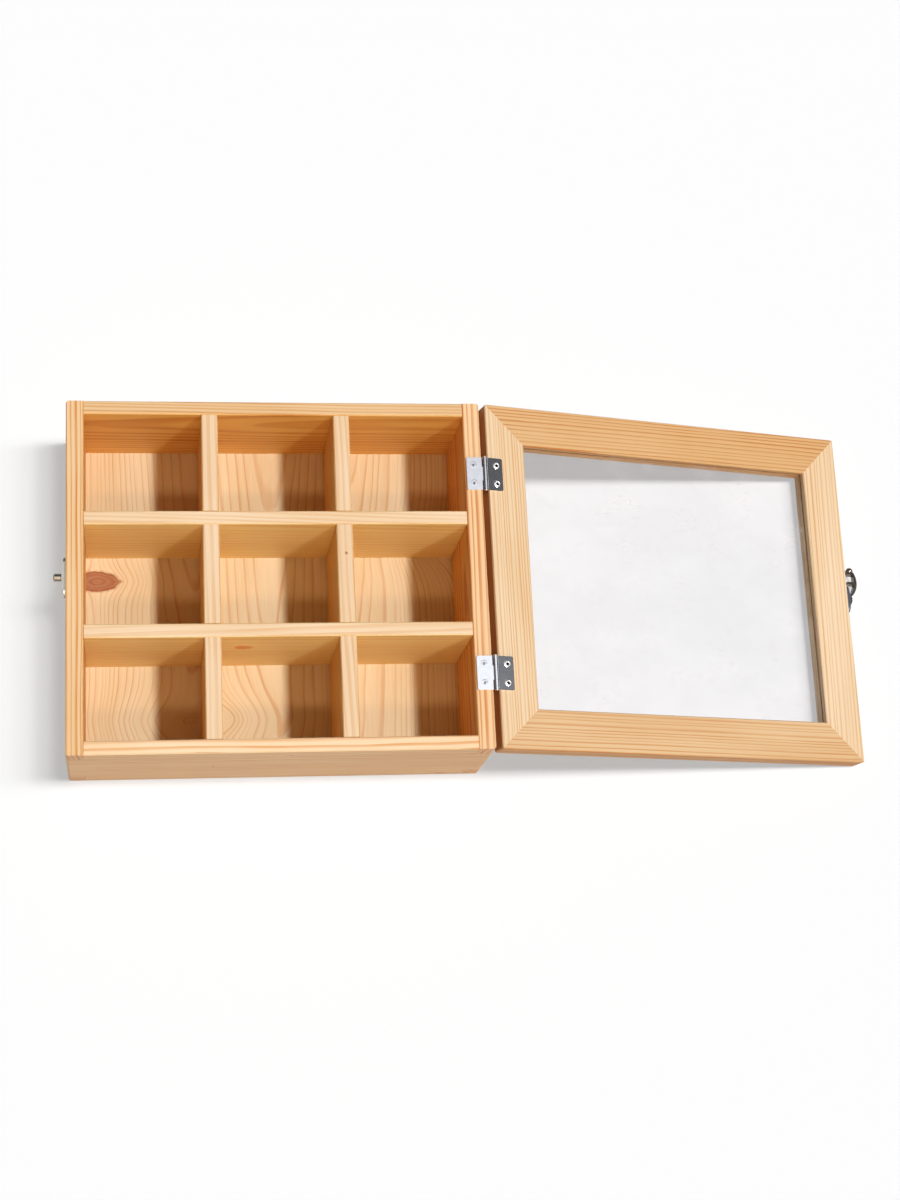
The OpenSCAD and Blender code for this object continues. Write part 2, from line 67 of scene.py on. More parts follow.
class Wiring:
    """Adds nodes to one node tree and joins their sockets."""

    def __init__(self, tree: bpy.types.NodeTree) -> None:
        """Takes the tree that every new node goes into."""
        self.tree = tree

    def feed(self, socket: Socket, value: Value) -> None:
        """Links a socket to another one, or sets its plain value."""
        if isinstance(value, bpy.types.NodeSocket):
            self.tree.links.new(value, socket)
        else:
            socket.default_value = value

    def add(
        self,
        kind: str,
        inputs: Optional[Mapping[Union[str, int], Value]] = None,
        **settings: object,
    ) -> bpy.types.Node:
        """Makes a node.

        Args:
            kind: The node's type name.
            inputs: What goes into its sockets, by name or by place.
            settings: The node's own properties.

        Returns:
            The new node.
        """
        node = self.tree.nodes.new(kind)
        for name, setting in settings.items():
            setattr(node, name, setting)
        for key, value in (inputs or {}).items():
            self.feed(node.inputs[key], value)
        return node

    def math(self, operation: str, *terms: Value, clamp: bool = False) -> Socket:
        """Does one sum on plain numbers and gives its result."""
        inputs = dict(enumerate(terms))
        return self.add("ShaderNodeMath", inputs, operation=operation, use_clamp=clamp).outputs[0]

    def vector(self, operation: str, *terms: Value) -> Socket:
        """Does one sum on vectors and gives its result, which for some sums is a number."""
        node = self.add("ShaderNodeVectorMath", dict(enumerate(terms)), operation=operation)
        return node.outputs["Value" if operation in ("LENGTH", "DOT_PRODUCT") else "Vector"]

    def scaled(self, vector: Value, factors: Value) -> Socket:
        """Multiplies a vector by three factors."""
        return self.vector("MULTIPLY", vector, factors)

    def sized(self, vector: Value, factor: Value) -> Socket:
        """Multiplies a vector by one number."""
        inputs = {0: vector, "Scale": factor}
        return self.add("ShaderNodeVectorMath", inputs, operation="SCALE").outputs[0]

    def span(
        self, value: Socket, low: Value, high: Value, to: Tuple[float, float] = (0.0, 1.0)
    ) -> Socket:
        """Eases a value from one range into another, and holds it at the ends.

        Args:
            value: The number that is read.
            low: Where the first of the two results holds.
            high: Where the second of the two results holds.
            to: The two results.

        Returns:
            The eased number.
        """
        inputs = {"Value": value, "From Min": low, "From Max": high, "To Min": to[0], "To Max": to[1]}
        return self.add("ShaderNodeMapRange", inputs, interpolation_type="SMOOTHSTEP").outputs[0]

    def blend(self, share: Value, first: Value, second: Value, how: str = "MIX") -> Socket:
        """Mixes two colours by a share."""
        inputs = {0: share, 6: first, 7: second}
        return self.add("ShaderNodeMix", inputs, data_type="RGBA", blend_type=how).outputs[2]

    def noise(self, vector: Socket, detail: float = 2.0, roughness: float = 0.5) -> bpy.types.Node:
        """Adds cloudy noise with one cloud to each unit of the vector."""
        inputs = {"Vector": vector, "Scale": 1.0, "Detail": detail, "Roughness": roughness}
        return self.add("ShaderNodeTexNoise", inputs)

    def noise_line(self, place: Socket) -> Socket:
        """Adds noise along one line, for what changes from ring to ring."""
        inputs = {"W": place, "Scale": 1.0, "Detail": 1.0}
        return self.add("ShaderNodeTexNoise", inputs, noise_dimensions="1D").outputs[0]

    def centred(self, value: Socket, reach: Value) -> Socket:
        """Turns noise from 0 to 1 into a swing of the given reach to both sides."""
        return self.math("MULTIPLY", self.math("SUBTRACT", value, 0.5), reach)

    def grey(self, brightness: Socket) -> Socket:
        """Turns a number into a grey."""
        inputs = {0: brightness, 1: brightness, 2: brightness}
        return self.add("ShaderNodeCombineColor", inputs).outputs[0]

    def place_in_mm(self) -> Socket:
        """Gives the place on the piece in millimetres."""
        return self.sized(self.add("ShaderNodeTexCoord").outputs["Object"], 1 / MM)

    def relief(self, strength: float, depth: float, height: Socket) -> Socket:
        """Gives the normals of a relief that is some millimetres deep."""
        inputs = {"Strength": strength, "Distance": depth * MM, "Height": height}
        return self.add("ShaderNodeBump", inputs).outputs[0]


class Kind(Enum):
    """What a socket of a shared effect carries."""

    NUMBER = "NodeSocketFloat"
    VECTOR = "NodeSocketVector"
    COLOUR = "NodeSocketColor"


class Effect:
    """A node group that several finishes share. It is built once and placed with its own values."""

    name: ClassVar[str] = "effect"
    takes: ClassVar[Mapping[str, Kind]] = {}
    gives: ClassVar[Mapping[str, Kind]] = {}

    def wire(self, w: Wiring, given: Mapping[str, Socket]) -> Mapping[str, Socket]:
        """Joins the group's inside up and says which sockets feed its outputs."""
        raise NotImplementedError

    def tree(self) -> bpy.types.NodeTree:
        """Gives the group's tree, and builds it the first time."""
        made = bpy.data.node_groups.get(self.name)
        if made:
            return made
        tree = bpy.data.node_groups.new(self.name, "ShaderNodeTree")
        for name, kind in self.takes.items():
            tree.interface.new_socket(name, in_out="INPUT", socket_type=kind.value)
        for name, kind in self.gives.items():
            tree.interface.new_socket(name, in_out="OUTPUT", socket_type=kind.value)
        w = Wiring(tree)
        entry = w.add("NodeGroupInput")
        results = self.wire(w, {name: entry.outputs[name] for name in self.takes})
        w.add("NodeGroupOutput", dict(results))
        return tree

    def place(self, w: Wiring, values: Mapping[str, Value]) -> bpy.types.Node:
        """Puts the group into a material's tree.

        Args:
            w: The material's wiring.
            values: What goes into the group's inputs.

        Returns:
            The group's node, with its outputs by name.
        """
        node = w.add("ShaderNodeGroup", node_tree=self.tree())
        for name, value in values.items():
            w.feed(node.inputs[name], value)
        return node


class BoardGrain(Effect):
    """Growth rings round a log's heart, cut by whatever face the board shows.

    The sizes of noise are in clouds to the millimetre, and longest along the board's run.
    A ring's season goes from 0 in spring to 1 in the next spring.
    """

    seed_step: ClassVar[Triple] = (131.0, 377.0, 59.0)
    slow_bends: ClassVar[Triple] = (0.028, 0.007, 0.028)
    quick_bends: ClassVar[Triple] = (0.13, 0.016, 0.13)
    ripple: ClassVar[float] = 0.35
    uneven_years: ClassVar[float] = 1.4
    late_end: ClassVar[float] = 0.93
    late_ease: ClassVar[float] = 0.4
    line_share: ClassVar[float] = 0.7
    faint_patches: ClassVar[Triple] = (0.06, 0.02, 0.06)
    fibres: ClassVar[Triple] = (1.2, 0.02, 1.2)
    clouds: ClassVar[Triple] = (0.04, 0.011, 0.04)

    name = "board_grain"
    takes = {
        "Vector": Kind.VECTOR,
        "Ring Spacing": Kind.NUMBER,
        "Wander": Kind.NUMBER,
        "Late Share": Kind.NUMBER,
        "Seed": Kind.NUMBER,
    }
    gives = {"Late Wood": Kind.NUMBER, "Fibre": Kind.NUMBER, "Cloud": Kind.NUMBER}

    def wire(self, w: Wiring, given: Mapping[str, Socket]) -> Mapping[str, Socket]:
        """Bends the place, counts rings by the distance from the heart and shades each one."""
        spacing = given["Ring Spacing"]
        shift = w.sized(self.seed_step, given["Seed"])
        seeded = w.vector("ADD", given["Vector"], shift)
        slow = w.noise(w.scaled(seeded, self.slow_bends), 1.0).outputs[1]
        bend = w.sized(w.vector("SUBTRACT", slow, NOISE_MIDDLE), given["Wander"])
        quick = w.noise(w.scaled(seeded, self.quick_bends), 2.0).outputs[1]
        reach = w.math("MULTIPLY", spacing, self.ripple)
        ripple = w.sized(w.vector("SUBTRACT", quick, NOISE_MIDDLE), reach)
        bent = w.vector("ADD", given["Vector"], w.vector("ADD", bend, ripple))
        radius = w.vector("LENGTH", w.scaled(bent, (1.0, 0.0, 1.0)))
        years = w.math("DIVIDE", radius, spacing)
        drift = w.noise_line(w.math("MULTIPLY_ADD", years, 0.31, given["Seed"]))
        age = w.math("ADD", years, w.centred(drift, self.uneven_years))
        season = w.math("FRACT", age)
        start = w.math("SUBTRACT", self.late_end, given["Late Share"])
        full = w.math("MULTIPLY_ADD", given["Late Share"], -self.late_ease, self.late_end)
        line = w.math("MULTIPLY", w.span(season, start, full), self.line_share)
        darkening = w.span(season, 0.3, self.late_end)
        band = w.math("MULTIPLY_ADD", darkening, 1.0 - self.line_share, line)
        whole = w.math("MULTIPLY", band, w.span(season, 1.0, 0.94))
        yearly = w.span(w.noise_line(w.math("MULTIPLY_ADD", age, 0.23, 7.0)), 0.3, 0.65, (0.6, 1.0))
        faded = w.noise(w.scaled(seeded, self.faint_patches), 1.0).outputs[0]
        strength = w.math("MULTIPLY", yearly, w.span(faded, 0.35, 0.6, (0.7, 1.0)))
        late = w.math("MULTIPLY", whole, strength)
        fibre = w.noise(w.scaled(seeded, self.fibres), 2.0, 0.6).outputs[0]
        cloud = w.noise(w.scaled(seeded, self.clouds), 1.0).outputs[0]
        return {"Late Wood": late, "Fibre": fibre, "Cloud": cloud}


class KnotEye(Effect):
    """A branch stub that dyes the wood round it and pushes the rings aside.

    The stub is a lens that lies across the board, with pointed ends and a coil inside.
    """

    lens: ClassVar[Triple] = (0.58, 1.3, 0.0)
    pointedness: ClassVar[float] = 0.4
    raggedness: ClassVar[float] = 0.3
    coils: ClassVar[float] = 2.9
    coil_strength: ClassVar[float] = 0.35
    push: ClassVar[float] = 1.1
    push_fade: ClassVar[float] = 0.28

    name = "knot_eye"
    takes = {"Vector": Kind.VECTOR, "Centre": Kind.VECTOR, "Radius": Kind.NUMBER}
    gives = {"Eye": Kind.NUMBER, "Rim": Kind.NUMBER, "Shove": Kind.VECTOR}

    def wire(self, w: Wiring, given: Mapping[str, Socket]) -> Mapping[str, Socket]:
        """Measures the distance from the stub in its own radius, and shades by that."""
        away = w.vector("SUBTRACT", given["Vector"], given["Centre"])
        flat = w.scaled(away, self.lens)
        ragged = w.noise(w.scaled(given["Vector"], (0.35, 0.35, 0.35)), 2.0).outputs[0]
        sides = w.add("ShaderNodeSeparateXYZ", {0: flat})
        corner = w.math("ABSOLUTE", w.math("MULTIPLY", sides.outputs[0], sides.outputs[1]))
        length = w.vector("LENGTH", flat)
        squared = w.math("MULTIPLY", length, length)
        pointed = w.math("SQRT", w.math("MULTIPLY_ADD", corner, self.pointedness, squared))
        reach = w.math("DIVIDE", pointed, given["Radius"])
        edge = w.math("ADD", reach, w.centred(ragged, self.raggedness))
        eye = w.span(edge, 1.02, 0.86)
        across = w.math("ABSOLUTE", w.add("ShaderNodeSeparateXYZ", {0: away}).outputs[1])
        steep = w.span(w.math("DIVIDE", across, given["Radius"]), 0.15, 0.6, (0.15, 1.0))
        outer = w.math("MULTIPLY", w.span(edge, 0.75, 0.93), w.span(edge, 1.14, 0.98))
        coil = w.math("FRACT", w.math("MULTIPLY", edge, self.coils))
        inner = w.math("MULTIPLY", w.math("MULTIPLY", w.span(coil, 0.5, 0.9), self.coil_strength), eye)
        rim = w.math("MAXIMUM", w.math("MULTIPLY", outer, steep), inner)
        fade = w.math("EXPONENT", w.math("MULTIPLY", w.math("POWER", reach, 2.0), -self.push_fade))
        force = w.math("MULTIPLY", w.math("MULTIPLY", fade, given["Radius"]), -self.push)
        push = w.sized(w.vector("NORMALIZE", flat), force)
        return {"Eye": eye, "Rim": rim, "Shove": push}


class Fleck(Effect):
    """A small dark mark, such as a pin knot, a nail or a gap in a joint."""

    name = "fleck"
    takes = {"Vector": Kind.VECTOR, "Centre": Kind.VECTOR, "Reach": Kind.VECTOR}
    gives = {"Mask": Kind.NUMBER}

    def wire(self, w: Wiring, given: Mapping[str, Socket]) -> Mapping[str, Socket]:
        """Fades out over the reach that is given along each axis, with a ragged edge."""
        away = w.vector("SUBTRACT", given["Vector"], given["Centre"])
        share = w.vector("LENGTH", w.vector("DIVIDE", away, given["Reach"]))
        ragged = w.noise(w.scaled(given["Vector"], (0.9, 0.9, 0.9)), 1.0).outputs[0]
        return {"Mask": w.span(w.math("ADD", share, w.centred(ragged, 0.9)), 1.05, 0.55)}


class EndGrain(Effect):
    """Says where a face cuts across the fibres instead of running along them."""

    name = "end_grain"
    takes = {"Normal": Kind.VECTOR, "Run": Kind.VECTOR}
    gives = {"Mask": Kind.NUMBER}

    def wire(self, w: Wiring, given: Mapping[str, Socket]) -> Mapping[str, Socket]:
        """Compares the face's direction with the run of the grain."""
        along = w.vector("DOT_PRODUCT", given["Normal"], given["Run"])
        return {"Mask": w.span(w.math("ABSOLUTE", along), 0.75, 0.95)}


class PineTone(Effect):
    """Mixes ring, fibre and stain masks into the colour, gloss and relief of planed pine, and
    multiplies painted shade and painted light into the colour of the listed sides.
    """

    end_share: ClassVar[float] = 0.25
    roughness: ClassVar[float] = 0.48
    fibre_roughness: ClassVar[float] = 0.18
    late_polish: ClassVar[float] = 0.08
    fibre_height: ClassVar[float] = 0.35
    late_height: ClassVar[float] = 0.5

    name = "pine_tone"
    takes = {
        "Late Wood": Kind.NUMBER,
        "Fibre": Kind.NUMBER,
        "Cloud": Kind.NUMBER,
        "End": Kind.NUMBER,
        "Stain": Kind.NUMBER,
        "Early Colour": Kind.COLOUR,
        "Late Colour": Kind.COLOUR,
        "Stain Colour": Kind.COLOUR,
        "Contrast": Kind.NUMBER,
        "Side": Kind.NUMBER,
        "Painted Side Shading": Kind.COLOUR,
    }
    gives = {"Color": Kind.COLOUR, "Roughness": Kind.NUMBER, "Height": Kind.NUMBER}

    def wire(self, w: Wiring, given: Mapping[str, Socket]) -> Mapping[str, Socket]:
        """Lays late wood, fibre streaks, clouds, end grain and stains over the early wood, and paints
        shade and light onto the listed sides.
        """
        share = w.math("MULTIPLY", given["Late Wood"], given["Contrast"], clamp=True)
        ringed = w.blend(share, given["Early Colour"], given["Late Colour"])
        streak = w.span(given["Fibre"], 0.3, 0.7, (1.03, 0.96))
        cloud = w.span(given["Cloud"], 0.3, 0.7, (1.04, 0.95))
        tint = w.math("MULTIPLY", streak, cloud)
        red = w.math("POWER", tint, 0.5)
        blue = w.math("POWER", tint, 1.8)
        warm = w.add("ShaderNodeCombineColor", {0: red, 1: tint, 2: blue})
        toned = w.blend(1.0, ringed, warm.outputs[0], "MULTIPLY")
        deepened = w.blend(1.0, toned, given["Late Colour"], "MULTIPLY")
        ended = w.blend(w.math("MULTIPLY", given["End"], self.end_share), toned, deepened)
        # Painted shade and painted light: the listed sides take the side multiplier, which stands in
        # for how the lamps fall on them.
        side_shaded = w.blend(1.0, ended, given["Painted Side Shading"], "MULTIPLY")
        sided = w.blend(given["Side"], ended, side_shaded)
        stained = w.blend(given["Stain"], sided, given["Stain Colour"])
        polished = w.math("MULTIPLY_ADD", given["Late Wood"], -self.late_polish, self.roughness)
        rough = w.math("MULTIPLY_ADD", given["Fibre"], self.fibre_roughness, polished)
        raised = w.math("MULTIPLY", given["Late Wood"], self.late_height)
        height = w.math("MULTIPLY_ADD", given["Fibre"], self.fibre_height, raised)
        return {"Color": stained, "Roughness": rough, "Height": height}


class FineScratches(Effect):
    """Hairlines and rubbed patches, as handling leaves them on metal and clear sheet."""

    name = "fine_scratches"
    takes = {"Vector": Kind.VECTOR, "Stretch": Kind.VECTOR, "Amount": Kind.NUMBER}
    gives = {"Hairlines": Kind.NUMBER, "Rubbed": Kind.NUMBER}

    def wire(self, w: Wiring, given: Mapping[str, Socket]) -> Mapping[str, Socket]:
        """Cuts thin bands out of stretched noise, and fades them by broad patches."""
        drawn = w.scaled(given["Vector"], given["Stretch"])
        band = w.math("ABSOLUTE", w.math("SUBTRACT", w.noise(drawn, 3.0, 0.55).outputs[0], 0.5))
        line = w.span(band, 0.012, 0.0)
        patch = w.noise(w.scaled(given["Vector"], (0.05, 0.05, 0.05)), 2.0).outputs[0]
        rubbed = w.math("MULTIPLY", w.span(patch, 0.48, 0.72), given["Amount"])
        return {"Hairlines": w.math("MULTIPLY", line, rubbed), "Rubbed": rubbed}


def new_material(name: str) -> Tuple[bpy.types.Material, Wiring, bpy.types.Node]:
    """Makes an empty node material.

    Args:
        name: The material's name.

    Returns:
        The material, the wiring of its tree, and its output node.
    """
    material = bpy.data.materials.new(name)
    material.use_nodes = True
    material.node_tree.nodes.clear()
    w = Wiring(material.node_tree)
    return material, w, w.add("ShaderNodeOutputMaterial")


def dress(node_name: str, material: bpy.types.Material) -> bpy.types.Object:
    """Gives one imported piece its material.

    Args:
        node_name: The piece's name in the frame.
        material: What its whole surface is made of.

    Returns:
        The piece.
    """
    piece = frame["nodes"][node_name]
    piece.data.materials.clear()
    piece.data.materials.append(material)
    return piece


class Run(Enum):
    """Which way a board's grain runs: level with the box, or tilted with the open lid."""

    BOX_ACROSS = "box_across"
    BOX_DEEP = "box_deep"
    LID_ACROSS = "lid_across"
    LID_DEEP = "lid_deep"

    def turn(self, tilt: float) -> Matrix:
        """Gives the turn from a board drawn along Y with its face up to how it lies.

        Args:
            tilt: How far the open lid slopes down, in radians.

        Returns:
            The rotation.
        """
        sideways = Matrix.Rotation(math.radians(-90), 3, "Z")
        slope = Matrix.Rotation(tilt, 3, "Y")
        turns = {
            Run.BOX_ACROSS: sideways,
            Run.BOX_DEEP: Matrix.Identity(3),
            Run.LID_ACROSS: slope @ sideways,
            Run.LID_DEEP: slope,
        }
        return turns[self]


@dataclass(frozen=True)
class PineFinish:
    """One tone of planed pine under a thin satin lacquer.

    The side multiplier is painted shade and painted light: it recolours the sides that a board lists,
    for how the lamps fall on those faces.
    """

    early: Colour = seen(250, 218, 180)
    late: Colour = seen(214, 152, 92)
    stain: Colour = seen(150, 84, 42)
    # Painted shade: by default the listed sides turn darker and redder, for the shade and warm bounce
    # inside the compartments.
    painted_side_shading: Colour = (1.0, 0.74, 0.38, 1.0)
    contrast: float = 0.8
    gloss: float = 0.3
    relief: float = 0.12


@dataclass(frozen=True)
class Stain:
    """A dark mark on a board, placed in the box's own millimetres."""

    centre: Triple
    reach: Triple


@dataclass(frozen=True)
class Knot:
    """A branch knot on a board, placed in the box's own millimetres.

    One that doesn't show lies deeper in the wood, and only bends the rings.
    """

    centre: Triple
    radius: float
    shows: bool = True


@dataclass(frozen=True)
class Board:
    """A piece of pine, and how it was sawn from its log.

    heart is where the log's heart lies from the board's middle, across and up, in millimetres.
    lean is how far the heart strays from the board's run, in degrees.
    stave is the width of glued staves, or 0 for one piece, and stave_far how far off their hearts lie.
    The listed side directions are those of the sides that take the finish's side multiplier, which is
    painted shade and painted light.
    """

    stain_strength: ClassVar[float] = 0.75
    knot_fill: ClassVar[float] = 0.82
    knot_rim: ClassVar[float] = 0.3
    relief_depth: ClassVar[float] = 0.1

    node: str
    run: Run
    heart: Tuple[float, float]
    finish: PineFinish
    seed: float
    lean: Tuple[float, float] = (0.0, 0.0)
    spacing: float = 2.4
    wander: float = 3.0
    late_share: float = 0.5
    stains: Tuple[Stain, ...] = ()
    knots: Tuple[Knot, ...] = ()
    stave: float = 0.0
    stave_far: Tuple[float, float] = (0.0, 0.0)
    painted_shade_sides: Tuple[Triple, ...] = ()

    def heart_frame(self, tilt: float) -> Tuple[Vector, Euler]:
        """Finds where the log's heart runs through or past this board.

        Args:
            tilt: How far the open lid slopes down, in radians.

        Returns:
            A point on the heart in metres, and the turn that lays Y along it.
        """
        low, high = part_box(self.node)
        turn = self.run.turn(tilt)
        offset = turn @ Vector((self.heart[0], 0.0, self.heart[1])) * MM
        strayed = Euler((math.radians(self.lean[0]), 0.0, math.radians(self.lean[1]))).to_matrix()
        return (low + high) / 2 + offset, (turn @ strayed).to_euler()

    def material(self, tilt: float) -> bpy.types.Material:
        """Builds this board's own material.

        Args:
            tilt: How far the open lid slopes down, in radians.

        Returns:
            The material.
        """
        material, w, output = new_material("pine_" + self.node)
        place = w.add("ShaderNodeTexCoord")
        in_mm = w.sized(place.outputs["Object"], 1 / MM)
        stain, shoves = self._marks(w, in_mm)
        point, turn = self.heart_frame(tilt)
        pushed = w.vector("ADD", in_mm, shoves) if shoves else in_mm
        seed: Value = self.seed
        if self.stave:
            pushed, seed = self._staves(w, pushed)
        settings = {"Vector": pushed, "Location": point / MM, "Rotation": turn}
        board = w.add("ShaderNodeMapping", settings, vector_type="TEXTURE")
        grain = BoardGrain().place(
            w,
            {
                "Vector": board.outputs[0],
                "Ring Spacing": self.spacing,
                "Wander": self.wander,
                "Late Share": self.late_share,
                "Seed": seed,
            },
        )
        run = self.run.turn(tilt) @ Vector((0.0, 1.0, 0.0))
        end = EndGrain().place(w, {"Normal": place.outputs["Normal"], "Run": run})
        # Painted shade and painted light: a mask of the listed sides, which take the finish's side
        # multiplier.
        side: Value = 0.0
        for direction in self.painted_shade_sides:
            facing = w.vector("DOT_PRODUCT", place.outputs["Normal"], direction)
            side = w.math("MAXIMUM", side, facing)
        tone = PineTone().place(
            w,
            {
                "Side": side,
                "Painted Side Shading": self.finish.painted_side_shading,
                "Late Wood": grain.outputs["Late Wood"],
                "Fibre": grain.outputs["Fibre"],
                "Cloud": grain.outputs["Cloud"],
                "End": end.outputs["Mask"],
                "Stain": stain,
                "Early Colour": self.finish.early,
                "Late Colour": self.finish.late,
                "Stain Colour": self.finish.stain,
                "Contrast": self.finish.contrast,
            },
        )
        normal = w.relief(self.finish.relief, self.relief_depth, tone.outputs["Height"])
        lacquer = w.add(
            "ShaderNodeBsdfPrincipled",
            {
                "Base Color": tone.outputs["Color"],
                "Roughness": tone.outputs["Roughness"],
                "Specular IOR Level": self.finish.gloss,
                "Normal": normal,
            },
        )
        w.feed(output.inputs["Surface"], lacquer.outputs[0])
        return material

    def _marks(self, w: Wiring, vector: Socket) -> Tuple[Value, Optional[Socket]]:
        """Adds the board's stains and knots.

        Args:
            w: The material's wiring.
            vector: The surface's place in millimetres.

        Returns:
            How stained the surface is, and how far the knots push the rings, if there are any.
        """
        stain: Value = 0.0
        shoves: Optional[Socket] = None
        for mark in self.stains:
            spot = Fleck().place(w, {"Vector": vector, "Centre": mark.centre, "Reach": mark.reach})
            dark = w.math("MULTIPLY", spot.outputs["Mask"], self.stain_strength)
            stain = w.math("MAXIMUM", stain, dark)
        for knot in self.knots:
            eye = KnotEye().place(w, {"Vector": vector, "Centre": knot.centre, "Radius": knot.radius})
            if knot.shows:
                fill = w.math("MULTIPLY", eye.outputs["Eye"], self.knot_fill)
                dark = w.math("MULTIPLY_ADD", eye.outputs["Rim"], self.knot_rim, fill)
                stain = w.math("MAXIMUM", stain, dark, clamp=True)
            shove = eye.outputs["Shove"]
            shoves = w.vector("ADD", shoves, shove) if shoves else shove
        return stain, shoves

    def _staves(self, w: Wiring, vector: Socket) -> Tuple[Socket, Socket]:
        """Splits the panel into glued staves, each from another part of a log.

        Args:
            w: The material's wiring.
            vector: The surface's place in millimetres.

        Returns:
            The place measured in its own stave, and a seed that changes from stave to stave.
        """
        parts = w.add("ShaderNodeSeparateXYZ", {0: vector})
        number = w.math("ROUND", w.math("DIVIDE", parts.outputs[0], self.stave))
        own = w.math("MULTIPLY_ADD", number, -self.stave - self.stave_far[0], parts.outputs[0])
        deep = w.math("MULTIPLY_ADD", w.math("ABSOLUTE", number), self.stave_far[1], parts.outputs[2])
        joined = w.add("ShaderNodeCombineXYZ", {0: own, 1: parts.outputs[1], 2: deep})
        return joined.outputs[0], w.math("MULTIPLY_ADD", number, 1.7, self.seed)


@dataclass(frozen=True)
class MetalFinish:
    """Sheet or turned metal with the hairlines of use.

    spread is how much rougher the rubbed patches are, and stretch how the hairlines run.
    """

    clouds: ClassVar[Triple] = (0.35, 0.35, 0.35)
    hairline_roughness: ClassVar[float] = 0.15
    hairline_depth: ClassVar[float] = 0.02

    name: str
    colour: Colour
    roughness: float
    spread: float
    stretch: Triple
    wear: float = 0.5

    def material(self) -> bpy.types.Material:
        """Builds the metal's material."""
        material, w, output = new_material(self.name)
        in_mm = w.place_in_mm()
        marks = FineScratches().place(
            w, {"Vector": in_mm, "Stretch": self.stretch, "Amount": self.wear}
        )
        cloud = w.noise(w.scaled(in_mm, self.clouds), 3.0).outputs[0]
        shade = w.span(cloud, 0.3, 0.7, (0.96, 1.03))
        colour = w.blend(1.0, self.colour, w.grey(shade), "MULTIPLY")
        dulled = w.math("MULTIPLY_ADD", marks.outputs["Rubbed"], self.spread, self.roughness)
        rough = w.math("MULTIPLY_ADD", marks.outputs["Hairlines"], self.hairline_roughness, dulled)
        normal = w.relief(0.25, self.hairline_depth, marks.outputs["Hairlines"])
        surface = w.add(
            "ShaderNodeBsdfPrincipled",
            {"Base Color": colour, "Metallic": 1.0, "Roughness": rough, "Normal": normal},
        )
        w.feed(output.inputs["Surface"], surface.outputs[0])
        return material


class ScrewDish(Effect):
    """The turned dish and the driven socket of four screw heads that share one piece.

    The heads lie mirrored about the middle of the box's depth, and each pair about its hinge.
    """

    name = "screw_dish"
    takes = {
        "Vector": Kind.VECTOR,
        "Middle": Kind.VECTOR,
        "Across": Kind.VECTOR,
        "Hinge Place": Kind.NUMBER,
        "Half Gap": Kind.NUMBER,
        "Radius": Kind.NUMBER,
    }
    gives = {"Dish": Kind.NUMBER, "Socket": Kind.NUMBER}

    def wire(self, w: Wiring, given: Mapping[str, Socket]) -> Mapping[str, Socket]:
        """Folds the place onto one head, and shades by the distance from that head's middle."""
        away = w.vector("SUBTRACT", given["Vector"], given["Middle"])
        across = w.vector("DOT_PRODUCT", away, given["Across"])
        depth = w.add("ShaderNodeSeparateXYZ", {0: given["Vector"]}).outputs[1]
        hinge = w.math("SUBTRACT", w.math("ABSOLUTE", depth), given["Hinge Place"])
        head = w.math("SUBTRACT", w.math("ABSOLUTE", hinge), given["Half Gap"])
        reach = w.math("SQRT", w.math("MULTIPLY_ADD", across, across, w.math("MULTIPLY", head, head)))
        share = w.math("DIVIDE", reach, given["Radius"])
        dish = w.math("MULTIPLY", w.span(share, 0.3, 0.6), w.span(share, 1.05, 0.6))
        return {"Dish": dish, "Socket": w.span(share, 0.5, 0.3)}


@dataclass(frozen=True)
class ScrewFinish:
    """Screw heads, dished round a driven socket, whose dark colour is painted shade for the recess.

    hinge_place is each hinge's distance from the middle of the box's depth, half_gap that of a
    screw from its hinge's middle, and radius the head's, all in millimetres.
    """

    dish_height: ClassVar[float] = 0.4

    name: str
    colour: Colour
    socket: Colour
    roughness: float
    dish_roughness: float
    depth: float
    hinge_place: float = 60.0
    half_gap: float = 5.6
    radius: float = 2.1

    def material(self, node_name: str, tilt: float) -> bpy.types.Material:
        """Builds the material for one piece with its four screws.

        Args:
            node_name: The piece that holds the screws.
            tilt: How far the leaf under them slopes down, in radians.

        Returns:
            The material.
        """
        low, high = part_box(node_name)
        material, w, output = new_material(self.name + "_" + node_name)
        dish = ScrewDish().place(
            w,
            {
                "Vector": w.place_in_mm(),
                "Middle": (low + high) / 2 / MM,
                "Across": (math.cos(tilt), 0.0, -math.sin(tilt)),
                "Hinge Place": self.hinge_place,
                "Half Gap": self.half_gap,
                "Radius": self.radius,
            },
        )
        rough = w.math("MULTIPLY_ADD", dish.outputs["Dish"], self.dish_roughness, self.roughness)
        steel = {
            # Painted shade: the middle of each head is blended towards the socket colour, for the shade
            # in the recess.
            "Base Color": w.blend(dish.outputs["Socket"], self.colour, self.socket),
            "Metallic": 1.0,
            "Roughness": rough,
            "Normal": w.relief(self.depth, self.dish_height, dish.outputs["Dish"]),
        }
        w.feed(output.inputs["Surface"], w.add("ShaderNodeBsdfPrincipled", steel).outputs[0])
        return material


